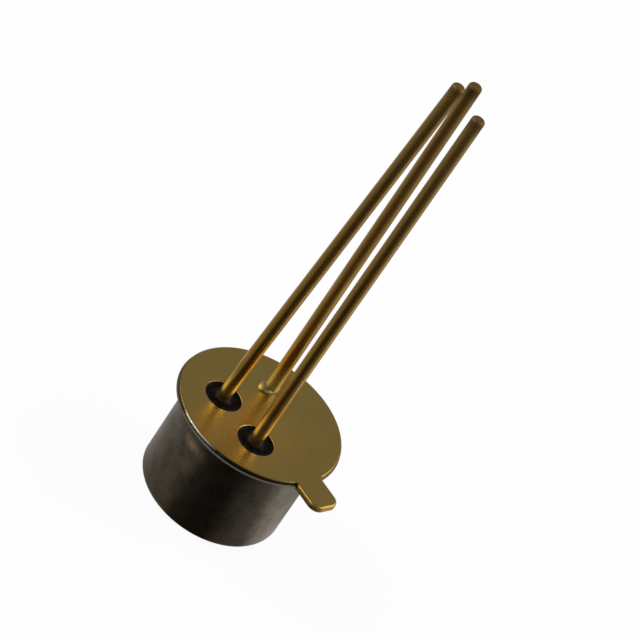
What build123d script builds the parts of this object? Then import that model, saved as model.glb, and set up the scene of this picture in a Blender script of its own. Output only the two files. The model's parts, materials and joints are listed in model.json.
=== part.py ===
"""Temperature sensor in a three-lead metal-can package of the TO-52 outline.

The can stands on its closed end, with the leads up. The origin is the centre of the can's end face and +Z
runs along the package axis towards the leads. The supply lead is on +X, the return lead on -Y, the case lead
on -X, and the index tab points half way between +X and +Y. All lengths are in millimetres.
"""

import os
from math import isclose, radians, tan

from build123d import *

# Package
SEATED_HEIGHT = 3.60  # from the can's end face to the seating plane, which is the header's lead side
PIN_CIRCLE_DIA = 2.54

# Header: one cold-formed piece, a flange with the thicker index tab and a platform that reaches into the can
FLANGE_INSET = 0.02  # inside the edge of the can's weld flange
FLANGE_THICKNESS = 0.11  # where it is coined down to seat the can's weld flange
FLANGE_EDGE_R = 0.08  # rounding of the lead-side edge, tab included
PLATFORM_WALL = 0.13  # outside the seal holes
PLATFORM_HEIGHT = 1.01
PLATFORM_EDGE_R = 0.08
TAB_ANGLE = 45
TAB_LENGTH = 1.02  # beyond the flange
TAB_WIDTH = 1.04
TAB_THICKNESS = 0.19
TAB_GAP = 0.02  # between the tab's thick part and the can's weld flange
TAB_CORNER_R = 0.33
TAB_ROOT_R = 0.10
SEAL_HOLE_DIA = 1.20
SEAL_HOLE_EDGE_R = 0.03
BRAZE_POCKET_DEPTH = 0.06

# Can: drawn nickel shell with a weld flange
CAN_CLEARANCE = 0.135  # between the platform and the can's wall
CAN_WALL = 0.20
CAN_NOSE_R = 0.06  # inside corner of the closed end
CAN_FLANGE_WIDTH = 0.43  # beyond the can's wall
CAN_FLANGE_THICKNESS = 0.07
CAN_FLANGE_EDGE_R = 0.03
CAN_BEND_R = 0.25  # outside, between the wall and the flange
CAN_MOUTH_R = 0.30  # inside, where the wall turns out into the flange

# Leads: straight out of the header, then one gentle bend and a straight run that leans inwards
LEAD_DIA = 0.43
LEAD_LENGTH = 13.60  # from the seating plane to the tips
LEAD_BEND_HEIGHT = 0.65  # from the seating plane to the bend
LEAD_BEND_R = 15.0
LEAD_END_R = 0.10
POST_HEIGHT = 0.35  # how far the sealed leads stand out of the platform, inside the can
SUPPLY_LEAD_LEAN = 2.72  # degrees from the package axis
SUPPLY_LEAD_HEADING = 153.6  # direction of the lean, in degrees from +X
RETURN_LEAD_LEAN = 3.80
RETURN_LEAD_HEADING = 113.4
CASE_LEAD_LEAN = 2.62
CASE_LEAD_HEADING = -11.4
CASE_LEAD_OFFSET = 0.14  # how far the brazed lead stands off the middle of its bead
CASE_LEAD_OFFSET_HEADING = 110.0

# Glass seals: their faces sag between the hole's edge and the lead, which the glass climbs a little
GLASS_SAG = 0.04
GLASS_CLIMB = 0.05

# Braze bead that holds the case lead to the header
BRAZE_DIA = 0.84
BRAZE_HEIGHT = 0.12
BRAZE_EDGE_R = 0.10

# Sensor die on its attach layer, in the middle of the platform's free side
DIE_LENGTH = 1.60
DIE_WIDTH = 1.10
DIE_THICKNESS = 0.30
DIE_X = -0.35
DIE_Y = 0.35
ATTACH_THICKNESS = 0.03
ATTACH_MARGIN = 0.06
PAD_INSET = 0.15  # from the die's edges to the middle of a bond pad

# Bond wires from the die's pads to the posts
WIRE_DIA = 0.038
WIRE_LOOP_HEIGHT = 0.28
WIRE_POST_HEIGHT = 0.12
WIRE_BEND_R = 0.08
WIRE_FOOT_DIA = 0.09
WIRE_FOOT_HEIGHT = 0.02

# Diameters that follow from the sizes above, each piece nested in the next
PLATFORM_DIA = PIN_CIRCLE_DIA + SEAL_HOLE_DIA + 2 * PLATFORM_WALL
CAN_DIA = PLATFORM_DIA + 2 * (CAN_CLEARANCE + CAN_WALL)
CAN_FLANGE_DIA = CAN_DIA + 2 * CAN_FLANGE_WIDTH
FLANGE_DIA = CAN_FLANGE_DIA - 2 * FLANGE_INSET

# Heights that follow from the sizes above
FLANGE_BACK = SEATED_HEIGHT - FLANGE_THICKNESS
PLATFORM_FACE = FLANGE_BACK - PLATFORM_HEIGHT
POST_END = PLATFORM_FACE - POST_HEIGHT
DIE_BACK = PLATFORM_FACE - ATTACH_THICKNESS
DIE_FACE = DIE_BACK - DIE_THICKNESS
POCKET_FLOOR = SEATED_HEIGHT - BRAZE_POCKET_DEPTH


def polar(radius, angle, height=0.0):
    """The point at this radius and angle about +Z, the angle in degrees from +X."""
    return Vector(radius, 0, height).rotate(Axis.Z, angle)


SUPPLY_PIN = polar(PIN_CIRCLE_DIA / 2, 0)
RETURN_PIN = polar(PIN_CIRCLE_DIA / 2, -90)
CASE_PIN = polar(PIN_CIRCLE_DIA / 2, 180)


def turned(corners, radii):
    """A solid of revolution about +Z from (radius, height) corners, with the numbered corners rounded."""
    profile = make_face(Polyline(*corners, close=True))
    for number, radius in radii.items():
        corner = profile.vertices().sort_by_distance(Vector(*corners[number]))[0]
        profile = fillet(corner, radius)
    return revolve(Plane.XZ * profile, Axis.Z)


def make_header():
    tab_reach = FLANGE_DIA / 2 + TAB_LENGTH
    tab = Pos(tab_reach / 2, 0) * Rectangle(tab_reach, TAB_WIDTH)
    tab = fillet(tab.vertices().group_by(Axis.X)[-1], TAB_CORNER_R)
    outline = Circle(FLANGE_DIA / 2) + tab
    tab_side_ends = outline.vertices().filter_by(lambda v: isclose(abs(v.Y), TAB_WIDTH / 2))
    outline = fillet(tab_side_ends.group_by(Axis.X)[0], TAB_ROOT_R)
    tab_back = SEATED_HEIGHT - TAB_THICKNESS
    flange = extrude(Pos(0, 0, tab_back) * Rot(0, 0, TAB_ANGLE) * outline, TAB_THICKNESS)
    flange = fillet(flange.faces().sort_by(Axis.Z)[-1].edges(), FLANGE_EDGE_R)
    flange -= extrude(Pos(0, 0, tab_back) * Circle(CAN_FLANGE_DIA / 2 + TAB_GAP), FLANGE_BACK - tab_back)
    platform = extrude(Pos(0, 0, PLATFORM_FACE) * Circle(PLATFORM_DIA / 2), PLATFORM_HEIGHT)
    platform = fillet(platform.faces().sort_by(Axis.Z)[0].edges(), PLATFORM_EDGE_R)
    header = flange + platform
    hole = extrude(Pos(0, 0, PLATFORM_FACE) * Circle(SEAL_HOLE_DIA / 2), SEATED_HEIGHT - PLATFORM_FACE)
    for pin in (SUPPLY_PIN, RETURN_PIN):
        header -= Pos(pin) * hole
    lead_side = header.faces().filter_by(Axis.Z).sort_by(Axis.Z)[-1]
    header = fillet(lead_side.inner_wires().edges(), SEAL_HOLE_EDGE_R)
    header -= Pos(CASE_PIN) * extrude(Pos(0, 0, POCKET_FLOOR) * Circle(BRAZE_DIA / 2), BRAZE_POCKET_DEPTH)
    return header


def make_can():
    outer = CAN_DIA / 2
    inner = outer - CAN_WALL
    rim = CAN_FLANGE_DIA / 2
    flange_face = FLANGE_BACK - CAN_FLANGE_THICKNESS
    corners = [
        (0, 0),
        (outer, 0),
        (outer, flange_face),
        (rim, flange_face),
        (rim, FLANGE_BACK),
        (inner, FLANGE_BACK),
        (inner, CAN_WALL),
        (0, CAN_WALL),
    ]
    radii = {
        1: CAN_NOSE_R + CAN_WALL,
        2: CAN_BEND_R,
        3: CAN_FLANGE_EDGE_R,
        4: CAN_FLANGE_EDGE_R,
        5: CAN_MOUTH_R,
        6: CAN_NOSE_R,
    }
    return turned(corners, radii)


def make_glass_seal(pin):
    hole = SEAL_HOLE_DIA / 2
    lead = LEAD_DIA / 2
    middle = (hole + lead) / 2
    top = SEATED_HEIGHT - SEAL_HOLE_EDGE_R
    bottom = PLATFORM_FACE
    outline = [
        Line((lead, bottom + GLASS_SAG), (lead, top + GLASS_CLIMB)),
        ThreePointArc((lead, top + GLASS_CLIMB), (middle, top - GLASS_SAG), (hole, top)),
        Line((hole, top), (hole, bottom)),
        ThreePointArc((hole, bottom), (middle, bottom + GLASS_SAG), (lead, bottom + GLASS_SAG)),
    ]
    return Pos(pin) * revolve(Plane.XZ * make_face(outline), Axis.Z)


def make_lead(pin, inner_end, lean, heading):
    foot = Vector(pin.X, pin.Y, inner_end)
    bend = Vector(pin.X, pin.Y, SEATED_HEIGHT + LEAD_BEND_HEIGHT)
    run = LEAD_LENGTH - LEAD_BEND_HEIGHT
    tip = bend + polar(run * tan(radians(lean)), heading, run)
    path = FilletPolyline(foot, bend, tip, radius=LEAD_BEND_R)
    wire = sweep(Pos(foot) * Circle(LEAD_DIA / 2), path)
    end_edge = wire.edges().filter_by(GeomType.CIRCLE).sort_by(Axis.Z)[-1]
    return fillet(end_edge, LEAD_END_R)


def make_sealed_lead(pin, lean, heading):
    lead = make_lead(pin, POST_END, lean, heading)
    post_edge = lead.edges().filter_by(GeomType.CIRCLE).sort_by(Axis.Z)[0]
    return fillet(post_edge, LEAD_END_R)


def make_braze(case_lead):
    corners = [
        (0, POCKET_FLOOR),
        (BRAZE_DIA / 2, POCKET_FLOOR),
        (BRAZE_DIA / 2, SEATED_HEIGHT + BRAZE_HEIGHT),
        (0, SEATED_HEIGHT + BRAZE_HEIGHT),
    ]
    bead = turned(corners, {2: BRAZE_EDGE_R})
    return Pos(CASE_PIN) * bead - case_lead


def make_die_attach():
    length = DIE_LENGTH + 2 * ATTACH_MARGIN
    width = DIE_WIDTH + 2 * ATTACH_MARGIN
    return extrude(Pos(DIE_X, DIE_Y, DIE_BACK) * Rectangle(width, length), ATTACH_THICKNESS)


def make_die():
    return extrude(Pos(DIE_X, DIE_Y, DIE_FACE) * Rectangle(DIE_WIDTH, DIE_LENGTH), DIE_THICKNESS)


def make_bond_wire(pad, post):
    """A wire from a pad on the die's face to the end face of a post, with a flattened foot on each."""
    start = Vector(pad.X, pad.Y, DIE_FACE)
    end = Vector(post.X, post.Y, POST_END)
    over_pad = start - Vector(0, 0, WIRE_LOOP_HEIGHT)
    over_post = end - Vector(0, 0, WIRE_POST_HEIGHT)
    path = FilletPolyline(start, over_pad, over_post, end, radius=WIRE_BEND_R)
    wire = sweep(Pos(start) * Circle(WIRE_DIA / 2), path)
    foot = extrude(Circle(WIRE_FOOT_DIA / 2), -WIRE_FOOT_HEIGHT)
    return wire + Pos(start) * foot + Pos(end) * foot


case_foot = CASE_PIN + polar(CASE_LEAD_OFFSET, CASE_LEAD_OFFSET_HEADING)
case_lead = make_lead(case_foot, POCKET_FLOOR, CASE_LEAD_LEAN, CASE_LEAD_HEADING)
pad_x = DIE_X + DIE_WIDTH / 2 - PAD_INSET
pad_y = DIE_Y - DIE_LENGTH / 2 + PAD_INSET

nodes = {
    "header": make_header(),
    "can": make_can(),
    "supply_lead": make_sealed_lead(SUPPLY_PIN, SUPPLY_LEAD_LEAN, SUPPLY_LEAD_HEADING),
    "return_lead": make_sealed_lead(RETURN_PIN, RETURN_LEAD_LEAN, RETURN_LEAD_HEADING),
    "case_lead": case_lead,
    "supply_glass_seal": make_glass_seal(SUPPLY_PIN),
    "return_glass_seal": make_glass_seal(RETURN_PIN),
    "case_lead_braze": make_braze(case_lead),
    "die_attach": make_die_attach(),
    "sensor_die": make_die(),
    "supply_bond_wire": make_bond_wire(Vector(pad_x, DIE_Y), SUPPLY_PIN),
    "return_bond_wire": make_bond_wire(Vector(DIE_X, pad_y), RETURN_PIN),
}

os.makedirs("parts", exist_ok=True)
for name, solid in nodes.items():
    export_step(solid, f"parts/{name}.step")
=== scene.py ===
import json
import math

import bmesh
import bpy
from mathutils import Matrix, Vector


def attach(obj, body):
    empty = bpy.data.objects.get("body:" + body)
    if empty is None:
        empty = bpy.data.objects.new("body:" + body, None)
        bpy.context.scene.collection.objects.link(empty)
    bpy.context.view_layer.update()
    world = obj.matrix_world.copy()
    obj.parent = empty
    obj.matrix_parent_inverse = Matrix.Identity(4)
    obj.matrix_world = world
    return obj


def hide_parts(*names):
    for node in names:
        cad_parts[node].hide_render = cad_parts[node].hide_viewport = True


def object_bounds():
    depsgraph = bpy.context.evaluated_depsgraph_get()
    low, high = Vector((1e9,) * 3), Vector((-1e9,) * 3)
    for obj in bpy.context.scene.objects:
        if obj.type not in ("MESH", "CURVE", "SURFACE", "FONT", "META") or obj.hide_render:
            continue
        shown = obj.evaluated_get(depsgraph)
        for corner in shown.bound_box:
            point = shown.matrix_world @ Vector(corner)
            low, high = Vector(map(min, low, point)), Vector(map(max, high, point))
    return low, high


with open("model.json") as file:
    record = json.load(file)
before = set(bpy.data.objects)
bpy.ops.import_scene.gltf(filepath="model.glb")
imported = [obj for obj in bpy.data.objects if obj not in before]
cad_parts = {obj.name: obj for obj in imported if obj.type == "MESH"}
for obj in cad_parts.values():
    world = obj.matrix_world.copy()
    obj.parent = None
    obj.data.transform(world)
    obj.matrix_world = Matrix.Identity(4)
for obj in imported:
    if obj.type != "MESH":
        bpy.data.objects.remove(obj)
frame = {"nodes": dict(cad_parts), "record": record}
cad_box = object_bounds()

# A temperature sensor in a metal can, standing on the can's closed end with its leads up.
# Lengths are in metres, or in mm where a comment says so, in the part's own frame: +Z runs along the
# package axis towards the leads.

MM = 0.001
UP = Vector((0, 0, 1))
DOWN = Vector((0, 0, -1))

# Camera
CAMERA_AZIMUTH = -14.03  # degrees from +X, seen from above
CAMERA_ELEVATION = 36.13
CAMERA_ROLL = 34.08
CAMERA_DISTANCE = 155.0 * MM
CAMERA_AIM = Vector((-1.936, 0.360, 6.293)) * MM  # the point in the middle of the picture
LENS = 289.53  # mm, on a 36 mm sensor
SENSOR_WIDTH = 36.0

# Header and can, in mm and degrees, as in the part's source
SEATED_HEIGHT = 3.60
FLANGE_R = 2.745
FLANGE_BACK = 3.49
FLANGE_EDGE_R = 0.08
TAB_ANGLE = 45
TAB_BACK = 3.41
TAB_REACH = 3.765
TAB_HALF_WIDTH = 0.52
TAB_CORNER_R = 0.33
TAB_ROOT_R = 0.10
TAB_START_R = 2.785  # where the tab's thick part begins
PLATFORM_R = 2.0
PLATFORM_FACE = 2.48
PLATFORM_EDGE_R = 0.08
PIN_R = 1.27
SEAL_HOLE_R = 0.60
SEAL_HOLE_EDGE_R = 0.03
CAN_R = 2.335
CAN_WALL = 0.20
CAN_NOSE_R = 0.06
CAN_FLANGE_R = 2.765
CAN_FLANGE_FACE = 3.42
CAN_FLANGE_EDGE_R = 0.03
CAN_BEND_R = 0.25
CAN_MOUTH_R = 0.30

# Leads, in mm and degrees, as in the part's source
LEAD_R = 0.215
LEAD_LENGTH = 13.60  # from the seating plane to the tips
CASE_LEAD_OFFSET = 0.14  # how far the brazed lead stands off its place on the pin circle
CASE_LEAD_OFFSET_HEADING = 110

# Braze bead, in mm and degrees
BEAD_MIDDLE = Vector((-0.05, 0.07))  # from its place on the pin circle
BEAD_HALF_LENGTH = 0.42
BEAD_HALF_WIDTH = 0.28
BEAD_HEIGHT = 0.15
BEAD_HEADING = -50  # of its length, from +X

# Painted shade and highlights, tints and stains, with headings in degrees from +X and places in mm
PAINTED_SHADE_HEADING = -40  # the middle of the side where the painted shade on the flange's edge is fullest
PAINTED_HIGHLIGHT_HEADING = -42  # where a painted highlight lies on the flange's edge
TINTED_EDGE_HEADING = -29  # where the weld's heat left a blue-green tint
EDGE_INNER_R = 2.775  # the flange's edge lies inside this radius
EDGE_OUTER_R = 2.85  # only the tab's edge lies outside this radius
PAINTED_HIGHLIGHT_SPOT = (0.75, -0.35, SEATED_HEIGHT)  # the middle of a painted highlight, a warmer, brighter patch on the header's face
PAINTED_LINE_HEADING = 3  # where the painted highlight along the can's flange edge is fullest
STREAK_HEADINGS = (-50, -46, -42, -38, -34)  # along the can's brown streak
STREAK_HEIGHT = 2.72

# Studio
FLOOR_HALF_SIZE = 1.2
FLOOR_DROP = 0.005 * MM  # below the can's end
FLOOR_WHITE = 0.95
FLOOR_GLOW = 0.94  # share of plain white in what the camera and the metals see of the floor
WORLD_LEVEL = 0.48  # of the sky near the horizon
CARD_HALF_SIZE = 60 * MM
CARD_SHIFT = 1.2 * MM  # towards the camera
CARD_LIFT = 0.01 * MM  # over the can's end
CARD_CLEARNESS = [  # (share of a turn, anticlockwise from the card's far side; share of light let through)
    (0.10, 0.66),
    (0.19, 0.52),
    (0.28, 0.32),
    (0.36, 0.36),
    (0.41, 0.07),
    (0.50, 0.03),
    (0.58, 0.03),
    (0.63, 0.16),
    (0.72, 0.28),
    (0.76, 0.95),
    (0.81, 0.95),
    (0.85, 0.60),
    (0.89, 0.25),
]


def shown(red, green, blue):
    """The colour a shader takes to be shown at these display values, from 0 to 255."""
    def one(value):
        value /= 255
        return value / 12.92 if value <= 0.04045 else ((value + 0.055) / 1.055) ** 2.4
    return (one(red), one(green), one(blue), 1.0)


def direction(azimuth, elevation=0):
    """The unit vector at this azimuth from +X and this elevation, in degrees."""
    a, e = math.radians(azimuth), math.radians(elevation)
    return Vector((math.cos(a) * math.cos(e), math.sin(a) * math.cos(e), math.sin(e)))


class Tree:
    """Short calls for building one node tree."""

    def __init__(self, tree):
        self.nodes = tree.nodes
        self.links = tree.links

    def add(self, kind, **inputs):
        """Adds a node. An input may be a number or colour, or another node's output socket."""
        made = self.nodes.new(kind)
        for name, value in inputs.items():
            self.give(made, name, value)
        return made

    def give(self, node, name, value):
        """Sets or links an input, by its name with _ for a space, or by _ and its number."""
        socket = node.inputs[int(name[1:])] if name[0] == "_" else node.inputs[name.replace("_", " ")]
        if isinstance(value, bpy.types.NodeSocket):
            self.links.new(value, socket)
        else:
            socket.default_value = value

    def math(self, operation, first, second=0.5):
        node = self.add("ShaderNodeMath", _0=first, _1=second)
        node.operation = operation
        return node.outputs[0]

    def ramp(self, factor, stops):
        """A colour ramp. A stop is a place from 0 to 1 and a colour or a grey level."""
        node = self.add("ShaderNodeValToRGB", Fac=factor)
        elements = node.color_ramp.elements
        while len(elements) < len(stops):
            elements.new(0.5)
        for element, (place, colour) in zip(elements, stops):
            element.position = place
            element.color = colour if hasattr(colour, "__len__") else (colour, colour, colour, 1.0)
        return node.outputs["Color"]

    def fall(self, value, start, end):
        """1 up to the start, falling to 0 at the end, which is above the start."""
        return self.ramp(self.math("DIVIDE", value, end), [(start / end, 1.0), (1.0, 0.0)])

    def noise(self, vector, scale, detail=4.0, roughness=0.55):
        """Noise from 0 to 1. The scale is in lumps per metre."""
        node = self.add("ShaderNodeTexNoise", Vector=vector, Scale=scale, Detail=detail, Roughness=roughness)
        return node.outputs["Fac"]

    def stretched(self, vector, x=1.0, y=1.0, z=1.0):
        node = self.add("ShaderNodeMapping", Vector=vector, Scale=(x, y, z))
        return node.outputs["Vector"]

    def mix(self, factor, first, second):
        node = self.nodes.new("ShaderNodeMix")
        node.data_type = "RGBA"
        self.give(node, "_0", factor)
        self.give(node, "_6", first)
        self.give(node, "_7", second)
        return node.outputs[2]


def case_lead_foot():
    """Where the case lead's axis meets the header, in mm."""
    return Vector((-PIN_R, 0, SEATED_HEIGHT)) + direction(CASE_LEAD_OFFSET_HEADING) * CASE_LEAD_OFFSET


def empty_material(name):
    material = bpy.data.materials.new(name)
    material.use_nodes = True
    material.node_tree.nodes.clear()
    return material, Tree(material.node_tree)


def new_material(name, metallic=0.0):
    """A material with a Principled shader. Gives it, its tree, the shader and the object coordinates."""
    material, tree = empty_material(name)
    shader = tree.add("ShaderNodeBsdfPrincipled", Metallic=metallic)
    output = tree.add("ShaderNodeOutputMaterial", Surface=shader.outputs["BSDF"])
    output.is_active_output = True
    place = tree.add("ShaderNodeTexCoord").outputs["Object"]
    return material, tree, shader, place


def set_bump(tree, shader, height, distance):
    bump = tree.add("ShaderNodeBump", Height=height, Strength=1.0, Distance=distance)
    tree.give(shader, "Normal", bump.outputs["Normal"])


def from_axis(tree, place):
    """Sockets for the distance from the package axis, the height, and X and Y."""
    axis = tree.add("ShaderNodeSeparateXYZ", Vector=place)
    x, y, z = (axis.outputs[name] for name in "XYZ")
    radius = tree.math("SQRT", tree.math("ADD", tree.math("MULTIPLY", x, x), tree.math("MULTIPLY", y, y)))
    return radius, z, x, y


def towards(tree, radius, x, y, heading):
    """The cosine of the angle between a point's heading and this one, in degrees from +X."""
    aim = direction(heading)
    along = tree.math("ADD", tree.math("MULTIPLY", x, aim.x), tree.math("MULTIPLY", y, aim.y))
    return tree.math("DIVIDE", along, radius)


def near_spot(tree, place, spot, inner, outer):
    """1 within the inner distance of a spot, falling to 0 at the outer one, all in mm."""
    far = tree.add("ShaderNodeVectorMath", _0=place, _1=tuple(Vector(spot) * MM))
    far.operation = "DISTANCE"
    return tree.fall(far.outputs["Value"], inner * MM, outer * MM)


def gold_plate():
    material, tree, shader, place = new_material("gold_plate", metallic=1.0)
    cloud = tree.noise(place, 900.0, 3.0)
    grain = tree.noise(place, 22000.0, 3.0, 0.6)
    mottle = tree.noise(place, 9000.0, 3.0, 0.6)
    base = tree.ramp(cloud, [(0.35, shown(148, 126, 66)), (0.65, shown(156, 132, 70))])
    base = tree.mix(tree.ramp(mottle, [(0.38, 0.0), (0.62, 0.9)]), base, shown(154, 124, 62))
    plate = tree.mix(tree.ramp(grain, [(0.35, 0.0), (0.65, 0.5)]), base, shown(134, 118, 62))
    # A warmer, brighter patch on the face is a painted highlight
    painted_warm_highlight = tree.math("MULTIPLY", near_spot(tree, place, PAINTED_HIGHLIGHT_SPOT, 0.5, 2.1), 0.55)
    plate = tree.mix(painted_warm_highlight, plate, shown(184, 140, 60))

    # The flange's edge is darkened with painted shade, fullest on one side, and carries a painted highlight
    # in one place
    radius, height, x, y = from_axis(tree, place)
    drop = tree.math("DIVIDE", tree.math("SUBTRACT", SEATED_HEIGHT * MM, height), FLANGE_EDGE_R * MM)
    below = tree.ramp(drop, [(0.02, 0.0), (0.25, 1.0)])
    ring = tree.fall(radius, EDGE_INNER_R * MM, EDGE_OUTER_R * MM)
    painted_shade_side = tree.ramp(towards(tree, radius, x, y, PAINTED_SHADE_HEADING), [(0.0, 0.5), (0.25, 1.0)])
    edge = tree.math("MULTIPLY", tree.math("MULTIPLY", below, ring), painted_shade_side)
    # A pale cream painted highlight on the flange's rounded edge, broken up by the mottle
    painted_rim_highlight = tree.ramp(towards(tree, radius, x, y, PAINTED_HIGHLIGHT_HEADING), [(0.95, 0.0), (0.98, 1.0)])
    painted_rim_highlight = tree.math("MULTIPLY", painted_rim_highlight, tree.ramp(drop, [(0.6, 1.0), (0.9, 0.0)]))
    painted_rim_highlight = tree.math("MULTIPLY", painted_rim_highlight, tree.ramp(mottle, [(0.4, 1.0), (0.56, 0.55)]))
    tinted = tree.ramp(towards(tree, radius, x, y, TINTED_EDGE_HEADING), [(0.98, 0.0), (0.992, 1.0)])
    tinted = tree.math("MULTIPLY", tinted, tree.ramp(mottle, [(0.46, 0.0), (0.56, 0.8)]))
    # The rim's dark colour is painted shade; the blue-green is a heat tint from the weld
    rim = tree.mix(tinted, shown(62, 53, 30), shown(104, 140, 142))
    rim = tree.mix(painted_rim_highlight, rim, shown(190, 182, 158))

    # The tab's sheared sides are duller, and painted brighter and warmer as a painted reflection
    painted_tab_side = tree.math("MULTIPLY", below, tree.math("SUBTRACT", 1.0, ring))
    plate = tree.mix(painted_tab_side, plate, shown(188, 148, 80))
    tree.give(shader, "Base Color", tree.mix(edge, plate, rim))
    rough = tree.ramp(grain, [(0.3, 0.26), (0.7, 0.36)])
    rough = tree.math("ADD", rough, tree.math("MULTIPLY", edge, 0.08))
    tree.give(shader, "Roughness", tree.math("ADD", rough, tree.math("MULTIPLY", painted_tab_side, 0.2)))
    set_bump(tree, shader, grain, 0.0006 * MM)
    return material


def nickel():
    material, tree, shader, place = new_material("nickel")
    stain = tree.noise(place, 700.0, 4.0, 0.6)
    drawn = tree.noise(tree.stretched(place, 1, 1, 0.06), 16000.0, 3.0, 0.6)
    blotch = tree.noise(place, 1900.0, 5.0, 0.65)
    metal = tree.ramp(drawn, [(0.3, shown(104, 96, 82)), (0.7, shown(116, 107, 92))])
    browned = tree.mix(tree.ramp(stain, [(0.42, 0.0), (0.62, 0.75)]), metal, shown(112, 94, 72))
    spotted = tree.mix(tree.ramp(blotch, [(0.46, 0.0), (0.66, 0.6)]), browned, shown(68, 63, 53))
    streak = 0.0
    for heading in STREAK_HEADINGS:
        spot = direction(heading) * CAN_R + Vector((0, 0, STREAK_HEIGHT))
        streak = tree.math("MAXIMUM", streak, near_spot(tree, place, spot, 0.01, 0.24))
    streak = tree.math("MULTIPLY", streak, tree.ramp(blotch, [(0.4, 1.0), (0.58, 0.3)]))
    wall = tree.mix(streak, spotted, shown(186, 154, 116))

    # The weld flange's edge is a paler, duller grey, fullest near one heading: a painted highlight along the
    # edge
    radius, _, x, y = from_axis(tree, place)
    scale = tree.ramp(tree.math("DIVIDE", radius, CAN_FLANGE_R * MM), [(0.965, 0.0), (0.98, 1.0)])
    rough = tree.ramp(stain, [(0.3, 0.3), (0.7, 0.4)])
    tree.give(shader, "Roughness", tree.math("ADD", rough, tree.math("MULTIPLY", scale, 0.25)))
    painted_line_fullness = tree.ramp(towards(tree, radius, x, y, PAINTED_LINE_HEADING), [(0.62, 0.25), (0.82, 1.0)])
    scale = tree.math("MULTIPLY", scale, painted_line_fullness)
    tree.give(shader, "Base Color", tree.mix(scale, wall, shown(128, 122, 108)))
    tree.give(shader, "Metallic", tree.ramp(scale, [(0.0, 1.0), (1.0, 0.35)]))
    set_bump(tree, shader, tree.mix(0.35, drawn, blotch), 0.0014 * MM)
    return material


def lead_gold(name="lead_gold", dullness=0.0):
    """Gold plate on a drawn wire, pale at the foot as a painted reflection, and dull towards the tip."""
    material, tree, shader, place = new_material(name, metallic=1.0)
    drawn = tree.noise(tree.stretched(place, 1, 1, 0.03), 26000.0, 3.0, 0.6)
    cloud = tree.noise(place, 500.0, 4.0, 0.6)
    base = tree.ramp(drawn, [(0.3, shown(178, 134, 58)), (0.7, shown(196, 152, 72))])
    clouded = tree.mix(tree.ramp(cloud, [(0.4, 0.0), (0.7, 0.5)]), base, shown(150, 112, 52))
    height = tree.add("ShaderNodeSeparateXYZ", Vector=place).outputs["Z"]
    share = tree.math("DIVIDE", height, (SEATED_HEIGHT + LEAD_LENGTH) * MM)
    tip = tree.ramp(share, [(0.3, 0.0), (0.96, 0.75), (0.99, 1.0)])
    end = tree.ramp(share, [(0.97, 0.0), (0.99, 1.0)])
    foot = tree.fall(tree.math("SUBTRACT", height, SEATED_HEIGHT * MM), 0.2 * MM, 1.3 * MM)
    # Painted reflection: paler gold near the foot
    painted_foot_reflection = tree.mix(foot, clouded, shown(228, 208, 132))
    dull = tree.mix(end, shown(132, 108, 62), shown(116, 92, 52))
    tree.give(shader, "Base Color", tree.mix(tip, painted_foot_reflection, dull))
    rough = tree.ramp(cloud, [(0.3, 0.22 + dullness), (0.7, 0.34 + dullness)])
    rough = tree.math("ADD", rough, tree.math("MULTIPLY", tip, 0.12))
    rough = tree.math("ADD", rough, tree.math("MULTIPLY", foot, 0.05 + 0.4 * dullness))
    tree.give(shader, "Roughness", tree.math("ADD", rough, tree.math("MULTIPLY", end, 0.2)))
    set_bump(tree, shader, drawn, 0.0008 * MM)
    return material


def seal_glass():
    """Black glass, with a brown ring where it climbs the two leads, a painted reflection of their gold."""
    material, tree, shader, place = new_material("seal_glass")
    shader.inputs["IOR"].default_value = 1.5
    shader.inputs["Specular IOR Level"].default_value = 0.02
    bubbles = tree.noise(place, 9000.0, 2.0)
    dark = tree.ramp(bubbles, [(0.4, (0.004, 0.003, 0.003, 1)), (0.7, (0.009, 0.007, 0.006, 1))])
    supply = near_spot(tree, place, (PIN_R, 0, SEATED_HEIGHT), 0.22, 0.28)
    back = near_spot(tree, place, (0, -PIN_R, SEATED_HEIGHT), 0.22, 0.28)
    painted_lead_reflection = tree.math("MULTIPLY", tree.math("ADD", supply, back), 0.7)
    tree.give(shader, "Base Color", tree.mix(painted_lead_reflection, dark, shown(86, 50, 18)))
    tree.give(shader, "Roughness", tree.ramp(bubbles, [(0.4, 0.2), (0.7, 0.3)]))
    return material


def braze():
    material, tree, shader, place = new_material("braze", metallic=1.0)
    lumps = tree.noise(place, 9000.0, 4.0)
    # Painted light: brighter gold away from the lead, where the highlight falls, and greyer near the lead, a
    # painted reflection
    plated = tree.ramp(lumps, [(0.35, shown(172, 136, 70)), (0.7, shown(180, 144, 80))])
    painted_reflection_near_lead = near_spot(tree, place, case_lead_foot() + Vector((0, 0, 0.1)), 0.27, 0.35)
    tree.give(shader, "Base Color", tree.mix(painted_reflection_near_lead, plated, shown(128, 120, 82)))
    tree.give(shader, "Roughness", tree.ramp(lumps, [(0.3, 0.4), (0.7, 0.5)]))
    set_bump(tree, shader, lumps, 0.002 * MM)
    return material


def attach_metal():
    material, tree, shader, place = new_material("attach_metal", metallic=1.0)
    grain = tree.noise(place, 15000.0)
    tone = tree.ramp(grain, [(0.3, shown(150, 140, 110)), (0.7, shown(180, 168, 132))])
    tree.give(shader, "Base Color", tone)
    tree.give(shader, "Roughness", tree.ramp(grain, [(0.3, 0.3), (0.7, 0.45)]))
    return material


def silicon():
    material, tree, shader, place = new_material("silicon")
    cells = tree.add("ShaderNodeTexBrick", Vector=place, Scale=9000.0,
                     Color1=shown(46, 52, 66), Color2=shown(62, 58, 74),
                     Mortar=shown(120, 122, 128))
    tree.give(shader, "Base Color", cells.outputs["Color"])
    tree.give(shader, "Roughness", tree.ramp(tree.noise(place, 12000.0), [(0.3, 0.12), (0.7, 0.2)]))
    return material


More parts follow.
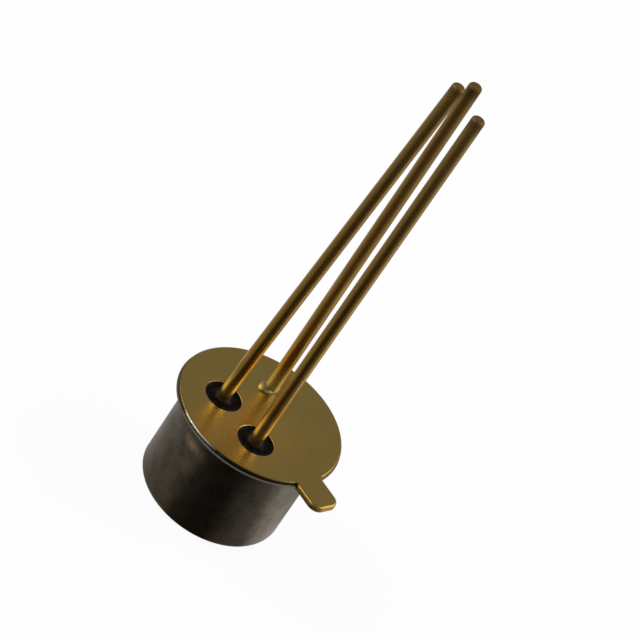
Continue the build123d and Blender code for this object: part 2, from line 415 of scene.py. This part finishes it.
def bond_wire():
    material, tree, shader, place = new_material("bond_wire", metallic=1.0)
    grain = tree.noise(place, 60000.0)
    tone = tree.ramp(grain, [(0.3, shown(186, 186, 188)), (0.7, shown(208, 208, 210))])
    tree.give(shader, "Base Color", tone)
    tree.give(shader, "Roughness", tree.ramp(grain, [(0.3, 0.2), (0.7, 0.3)]))
    return material


def dress_nodes():
    """Gives every CAD node its finish. The case lead's gold is the dullest of the three."""
    finishes = {
        "gold_plate": gold_plate(),
        "nickel": nickel(),
        "lead_gold": lead_gold(),
        "seal_glass": seal_glass(),
        "braze": braze(),
        "attach_metal": attach_metal(),
        "silicon": silicon(),
        "bond_wire": bond_wire(),
    }
    for subpart in frame["record"]["subparts"]:
        node = frame["nodes"][subpart["node"]]
        for slot in node.material_slots:
            slot.material = finishes[subpart["material_slot"]]
    for slot in frame["nodes"]["case_lead"].material_slots:
        slot.material = lead_gold("lead_gold_dull", 0.12)
    return finishes


class Surface:
    """Collects smooth strips and flat faces, in mm, and makes a mesh with exact normals from them."""

    def __init__(self):
        self.places = []
        self.normals = []
        self.faces = []

    def point(self, place, normal):
        self.places.append(place)
        self.normals.append(normal)
        return len(self.places) - 1

    def strip(self, rings, closed=True):
        """Quads between rings, which are lists of (place, normal) pairs.

        Seen from the strip's outer side, a ring runs to the right and the next one lies above it.
        """
        rows = [[self.point(*pair) for pair in ring] for ring in rings]
        for low, high in zip(rows, rows[1:]):
            count = len(low)
            for i in range(count if closed else count - 1):
                j = (i + 1) % count
                self.faces.append((low[i], low[j], high[j], high[i]))

    def flat(self, outline, holes, normal):
        """A flat face with round or other holes, filled with triangles."""
        filled = bmesh.new()
        for loop in [outline] + holes:
            corners = [filled.verts.new(place) for place in loop]
            for i, corner in enumerate(corners):
                filled.edges.new((corner, corners[(i + 1) % len(corners)]))
        bmesh.ops.triangle_fill(filled, use_beauty=True, use_dissolve=False, edges=filled.edges[:],
                                normal=normal)
        filled.verts.index_update()
        start = len(self.places)
        for vert in filled.verts:
            self.point(vert.co.copy(), normal)
        for face in filled.faces:
            corners = [start + vert.index for vert in face.verts]
            self.faces.append(corners if face.normal.dot(normal) > 0 else corners[::-1])
        filled.free()

    def piece(self, name, material):
        mesh = bpy.data.meshes.new(name)
        mesh.from_pydata([place * MM for place in self.places], [], self.faces)
        mesh.shade_smooth()
        mesh.normals_split_custom_set_from_vertices([normal.normalized() for normal in self.normals])
        mesh.materials.append(material)
        made = bpy.data.objects.new(name, mesh)
        bpy.context.scene.collection.objects.link(made)
        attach(made, "root")
        return made


def arc(middle, radius, start, end, steps, inward=False):
    """Points of an arc in a plane with their outward normals, the angles in degrees."""
    made = []
    for i in range(steps + 1):
        angle = math.radians(start + (end - start) * i / steps)
        out = Vector((math.cos(angle), math.sin(angle)))
        made.append((Vector(middle) + out * radius, -out if inward else out))
    return made


def run(start, end, normal, steps):
    """Points of a straight line in a plane with their normal, without the two ends."""
    start, end = Vector(start), Vector(end)
    return [(start.lerp(end, i / steps), Vector(normal)) for i in range(1, steps)]


def revolved(profile, middle=(0, 0), steps=384):
    """Rings of a turned surface from (radius, height) points with their normals."""
    rings = []
    for place, normal in profile:
        ring = []
        for i in range(steps):
            angle = math.tau * i / steps
            c, s = math.cos(angle), math.sin(angle)
            ring.append((Vector((middle[0] + place.x * c, middle[1] + place.x * s, place.y)),
                         Vector((normal.x * c, normal.x * s, normal.y))))
        rings.append(ring)
    return rings


def flange_outline():
    """The flange's outline with its tab, anticlockwise from above, with outward normals."""
    half_width, corner, root = TAB_HALF_WIDTH, TAB_CORNER_R, TAB_ROOT_R
    root_x = math.sqrt((FLANGE_R + root) ** 2 - (half_width + root) ** 2)
    root_angle = math.degrees(math.atan2(half_width + root, root_x))
    half = run((TAB_REACH, 0), (TAB_REACH, half_width - corner), (1, 0), 5)
    half += arc((TAB_REACH - corner, half_width - corner), corner, 0, 90, 24)
    half += run((TAB_REACH - corner, half_width), (root_x, half_width), (0, 1), 12)
    half += arc((root_x, half_width + root), root, -90, root_angle - 180, 12, inward=True)
    half += arc((0, 0), FLANGE_R, root_angle, 180, 260)[1:]
    mirrored = [(Vector((p.x, -p.y)), Vector((n.x, -n.y))) for p, n in half[:-1]]
    outline = [(Vector((TAB_REACH, 0)), Vector((1, 0)))] + half + mirrored[::-1]
    turn = Matrix.Rotation(math.radians(TAB_ANGLE), 2)
    return [(turn @ place, turn @ normal) for place, normal in outline]


def at_height(pairs, height):
    """The places of an outline, at this height."""
    return [Vector((place.x, place.y, height)) for place, _ in pairs]


def upright(pairs, *heights):
    """Rings of an upright wall on an outline."""
    return [[(Vector((p.x, p.y, height)), Vector((n.x, n.y, 0))) for p, n in pairs] for height in heights]


def rounded_edge(outline, radius, top, steps):
    """Rings of a quarter round from an outline's wall in to the face at the top."""
    rings = []
    for step in range(steps + 1):
        tilt = math.radians(90 * step / steps)
        inset = radius * (1 - math.cos(tilt))
        height = top - radius * (1 - math.sin(tilt))
        ring = []
        for place, out in outline:
            moved = Vector((place.x - out.x * inset, place.y - out.y * inset, height))
            normal = Vector((out.x * math.cos(tilt), out.y * math.cos(tilt), math.sin(tilt)))
            ring.append((moved, normal))
        rings.append(ring)
    return rings


def add_seal_hole(header, middle):
    """Adds one seal hole's wall. Gives its rims on the face and on the platform."""
    edge = SEAL_HOLE_EDGE_R
    profile = [(Vector((SEAL_HOLE_R, PLATFORM_FACE)), Vector((-1, 0)))]
    profile += arc((SEAL_HOLE_R + edge, SEATED_HEIGHT - edge), edge, 180, 90, 6)
    wall = revolved(profile, middle, 128)
    header.strip([ring[::-1] for ring in wall])
    return [place for place, _ in wall[-1]], [place for place, _ in wall[0]]


def add_tab_back(header, outline):
    """Adds the tab's thick part, which begins just outside the can's weld flange."""
    turn = Matrix.Rotation(math.radians(-TAB_ANGLE), 2)
    beyond = []
    for i, (place, _) in enumerate(outline):
        if place.length > TAB_START_R and (turn @ place).x > 0:
            beyond.append(i)
    first = next(i for i in beyond if (i - 1) % len(outline) not in beyond)
    outer = [outline[(first + k) % len(outline)] for k in range(len(beyond))]
    header.strip(upright(outer, TAB_BACK, FLANGE_BACK), closed=False)
    ends = [math.degrees(math.atan2(place.y, place.x)) for place, _ in (outer[-1], outer[0])]
    step_wall = arc((0, 0), TAB_START_R, ends[0], ends[1], 16, inward=True)
    header.strip(upright(step_wall, TAB_BACK, FLANGE_BACK), closed=False)
    header.flat(at_height(outer, TAB_BACK) + at_height(step_wall, TAB_BACK), [], DOWN)


def make_header_piece(finish):
    header = Surface()
    outline = flange_outline()
    rings = upright(outline, FLANGE_BACK) + rounded_edge(outline, FLANGE_EDGE_R, SEATED_HEIGHT, 16)
    header.strip(rings)
    face_rims, platform_rims = [], []
    for middle in ((PIN_R, 0), (0, -PIN_R)):
        face_rim, platform_rim = add_seal_hole(header, middle)
        face_rims.append(face_rim)
        platform_rims.append(platform_rim)
    header.flat([place for place, _ in rings[-1]], face_rims, UP)

    # Platform and the flange's back
    edge = PLATFORM_EDGE_R
    profile = arc((PLATFORM_R - edge, PLATFORM_FACE + edge), edge, -90, 0, 6)
    profile.append((Vector((PLATFORM_R, FLANGE_BACK)), Vector((1, 0))))
    platform = revolved(profile, steps=192)
    header.strip(platform)
    header.flat([place for place, _ in platform[0]], platform_rims, DOWN)
    header.flat(at_height(outline, FLANGE_BACK), [[place for place, _ in platform[-1]]], DOWN)
    add_tab_back(header, outline)

    made = header.piece("header_plate", finish)
    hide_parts("header")


def make_can_piece(finish):
    inner = CAN_R - CAN_WALL
    nose, inner_nose = CAN_NOSE_R + CAN_WALL, CAN_NOSE_R
    edge, bend, mouth = CAN_FLANGE_EDGE_R, CAN_BEND_R, CAN_MOUTH_R
    outside = arc((CAN_R - nose, nose), nose, -90, 0, 24)
    outside += arc((CAN_R + bend, CAN_FLANGE_FACE - bend), bend, 180, 90, 16, inward=True)
    outside += arc((CAN_FLANGE_R - edge, CAN_FLANGE_FACE + edge), edge, -90, 0, 10)
    outside += arc((CAN_FLANGE_R - edge, FLANGE_BACK - edge), edge, 0, 90, 10)
    outside += arc((inner + mouth, FLANGE_BACK - mouth), mouth, 90, 180, 16)
    outside += arc((inner - inner_nose, CAN_WALL + inner_nose), inner_nose, 0, -90, 8, inward=True)
    can = Surface()
    rings = revolved(outside)
    can.strip(rings)
    can.flat([place for place, _ in rings[0]], [], DOWN)
    can.flat([place for place, _ in rings[-1]], [], UP)
    made = can.piece("can_shell", finish)
    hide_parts("can")


def make_bead_piece(finish):
    """The braze bead: a low oval mound round the case lead's foot."""
    bead = Surface()
    pin = Vector((-PIN_R, 0))
    foot = case_lead_foot().to_2d()
    turn = Matrix.Rotation(math.radians(BEAD_HEADING), 2)
    steps, levels = 96, 24
    grid = []
    for level in range(levels + 1):
        row = []
        for i in range(steps):
            angle = math.tau * i / steps
            edge = Vector((BEAD_HALF_LENGTH * math.cos(angle), BEAD_HALF_WIDTH * math.sin(angle)))
            edge = pin + BEAD_MIDDLE + turn @ edge
            place = edge.lerp(foot + (edge - foot).normalized() * (LEAD_R - 0.01), level / levels)
            along, across = (place - pin - BEAD_MIDDLE) @ turn
            reach = (along / BEAD_HALF_LENGTH) ** 2 + (across / BEAD_HALF_WIDTH) ** 2
            height = BEAD_HEIGHT * max(1 - reach, 0) ** 0.6
            row.append(Vector((place.x, place.y, SEATED_HEIGHT + height)))
        grid.append(row)
    rings = []
    for level, row in enumerate(grid):
        below, above = grid[max(level - 1, 0)], grid[min(level + 1, levels)]
        ring = []
        for i, place in enumerate(row):
            along = row[(i + 1) % steps] - row[i - 1]
            rise = above[i] - below[i]
            ring.append((place, along.cross(rise)))
        rings.append(ring)
    bead.strip(rings)
    made = bead.piece("braze_bead", finish)
    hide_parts("case_lead_braze")


def share_if_seen(tree, share):
    """This share for camera, glossy and transmission rays, and 0 for the rest."""
    path = tree.add("ShaderNodeLightPath")
    seen = tree.math("MAXIMUM", path.outputs["Is Camera Ray"], path.outputs["Is Glossy Ray"])
    seen = tree.math("MAXIMUM", seen, path.outputs["Is Transmission Ray"])
    return tree.math("MULTIPLY", seen, share)


def make_sheet(name, half_size):
    """A level square."""
    mesh = bpy.data.meshes.new(name)
    s = half_size
    mesh.from_pydata([(-s, -s, 0), (s, -s, 0), (s, s, 0), (-s, s, 0)], [], [(0, 1, 2, 3)])
    sheet = bpy.data.objects.new(name, mesh)
    bpy.context.scene.collection.objects.link(sheet)
    return sheet


def make_floor():
    """A plain pale floor. It is seen from above only, so that a view from below shows the can's end."""
    floor = make_sheet("floor", FLOOR_HALF_SIZE)
    floor.location.z = -FLOOR_DROP
    material, tree = empty_material("floor_paper")
    paper = tree.add("ShaderNodeBsdfDiffuse", Color=(FLOOR_WHITE, FLOOR_WHITE, FLOOR_WHITE, 1))
    white = tree.add("ShaderNodeEmission", Color=(1, 1, 1, 1), Strength=1.0)
    lit = tree.add("ShaderNodeMixShader", _0=share_if_seen(tree, FLOOR_GLOW),
                   _1=paper.outputs[0], _2=white.outputs[0])
    clear = tree.add("ShaderNodeBsdfTransparent")
    under = tree.add("ShaderNodeNewGeometry").outputs["Backfacing"]
    both = tree.add("ShaderNodeMixShader", _0=under, _1=lit.outputs[0], _2=clear.outputs[0])
    tree.add("ShaderNodeOutputMaterial", Surface=both.outputs[0])
    floor.data.materials.append(material)


def make_card():
    """A dark card on the floor, seen only in the metals, to which it gives their dark bands."""
    card = make_sheet("card", CARD_HALF_SIZE)
    card.location = direction(CAMERA_AZIMUTH) * CARD_SHIFT
    card.location.z = CARD_LIFT
    card.rotation_euler.z = math.radians(CAMERA_AZIMUTH)
    for ray in ("camera", "diffuse", "transmission", "volume_scatter", "shadow"):
        setattr(card, "visible_" + ray, False)
    material, tree = empty_material("card_black")
    place = tree.add("ShaderNodeSeparateXYZ", Vector=tree.add("ShaderNodeTexCoord").outputs["Object"])
    angle = tree.math("ARCTAN2", place.outputs["Y"], place.outputs["X"])
    turn = tree.math("ADD", tree.math("DIVIDE", angle, math.tau), 0.5)
    black = tree.add("ShaderNodeEmission", Color=(0, 0, 0, 1), Strength=0.0)
    see_through = tree.add("ShaderNodeBsdfTransparent")
    mixed = tree.add("ShaderNodeMixShader", _0=tree.ramp(turn, CARD_CLEARNESS),
                     _1=black.outputs[0], _2=see_through.outputs[0])
    tree.add("ShaderNodeOutputMaterial", Surface=mixed.outputs[0])
    card.data.materials.append(material)


def make_softbox(name, azimuth, elevation, distance, width, height, level):
    """A softbox that faces the part. Level is what it adds to a white surface that faces it."""
    data = bpy.data.lights.new(name, "AREA")
    data.shape = "RECTANGLE"
    data.size = width
    data.size_y = height
    data.energy = level * math.pi ** 2 * distance ** 2
    lamp = bpy.data.objects.new(name, data)
    aim = direction(azimuth, elevation)
    middle = (cad_box[0] + cad_box[1]) / 2
    lamp.location = middle + aim * distance
    lamp.rotation_mode = "QUATERNION"
    lamp.rotation_quaternion = aim.to_track_quat("Z", "Y")
    lamp.visible_camera = False
    bpy.context.scene.collection.objects.link(lamp)


def make_lights():
    """Two wide softboxes, and a sky that is darker overhead and on the camera's side."""
    make_softbox("key", azimuth=-102, elevation=40, distance=110 * MM,
                 width=120 * MM, height=60 * MM, level=0.66)
    make_softbox("fill", azimuth=102, elevation=36, distance=110 * MM,
                 width=110 * MM, height=56 * MM, level=0.58)
    world = bpy.data.worlds.new("studio")
    bpy.context.scene.world = world
    world.use_nodes = True
    world.node_tree.nodes.clear()
    tree = Tree(world.node_tree)
    side = tree.add("ShaderNodeSeparateXYZ", Vector=tree.add("ShaderNodeTexCoord").outputs["Generated"])
    x, y, z = (side.outputs[name] for name in "XYZ")
    low, middle, high = WORLD_LEVEL, 0.55 * WORLD_LEVEL, 0.35 * WORLD_LEVEL
    by_height = tree.ramp(z, [(0.68, low), (0.8, middle), (0.92, high)])
    aim = direction(CAMERA_AZIMUTH)
    front = tree.math("ADD", tree.math("MULTIPLY", x, aim.x), tree.math("MULTIPLY", y, aim.y))
    by_side = tree.ramp(front, [(0.05, 1.0), (0.55, 0.15)])
    level = tree.math("MULTIPLY", by_height, by_side)
    sky = tree.add("ShaderNodeBackground", Color=(1, 1, 1, 1), Strength=level)
    tree.add("ShaderNodeOutputWorld", Surface=sky.outputs[0])


def make_camera():
    data = bpy.data.cameras.new("camera")
    data.lens = LENS
    data.sensor_width = SENSOR_WIDTH
    data.clip_start = 1 * MM
    data.clip_end = 2.0
    camera = bpy.data.objects.new("camera", data)
    back = direction(CAMERA_AZIMUTH, CAMERA_ELEVATION)
    camera.location = CAMERA_AIM + back * CAMERA_DISTANCE
    level = (-back).to_track_quat("-Z", "Y").to_matrix()
    camera.rotation_mode = "QUATERNION"
    roll = Matrix.Rotation(math.radians(CAMERA_ROLL), 3, "Z")
    camera.rotation_quaternion = (level @ roll).to_quaternion()
    bpy.context.scene.collection.objects.link(camera)
    bpy.context.scene.camera = camera


bpy.context.scene.view_settings.view_transform = "Standard"
make_camera()
make_floor()
make_card()
make_lights()
finishes = dress_nodes()
make_header_piece(finishes["gold_plate"])
make_can_piece(finishes["nickel"])
make_bead_piece(finishes["braze"])
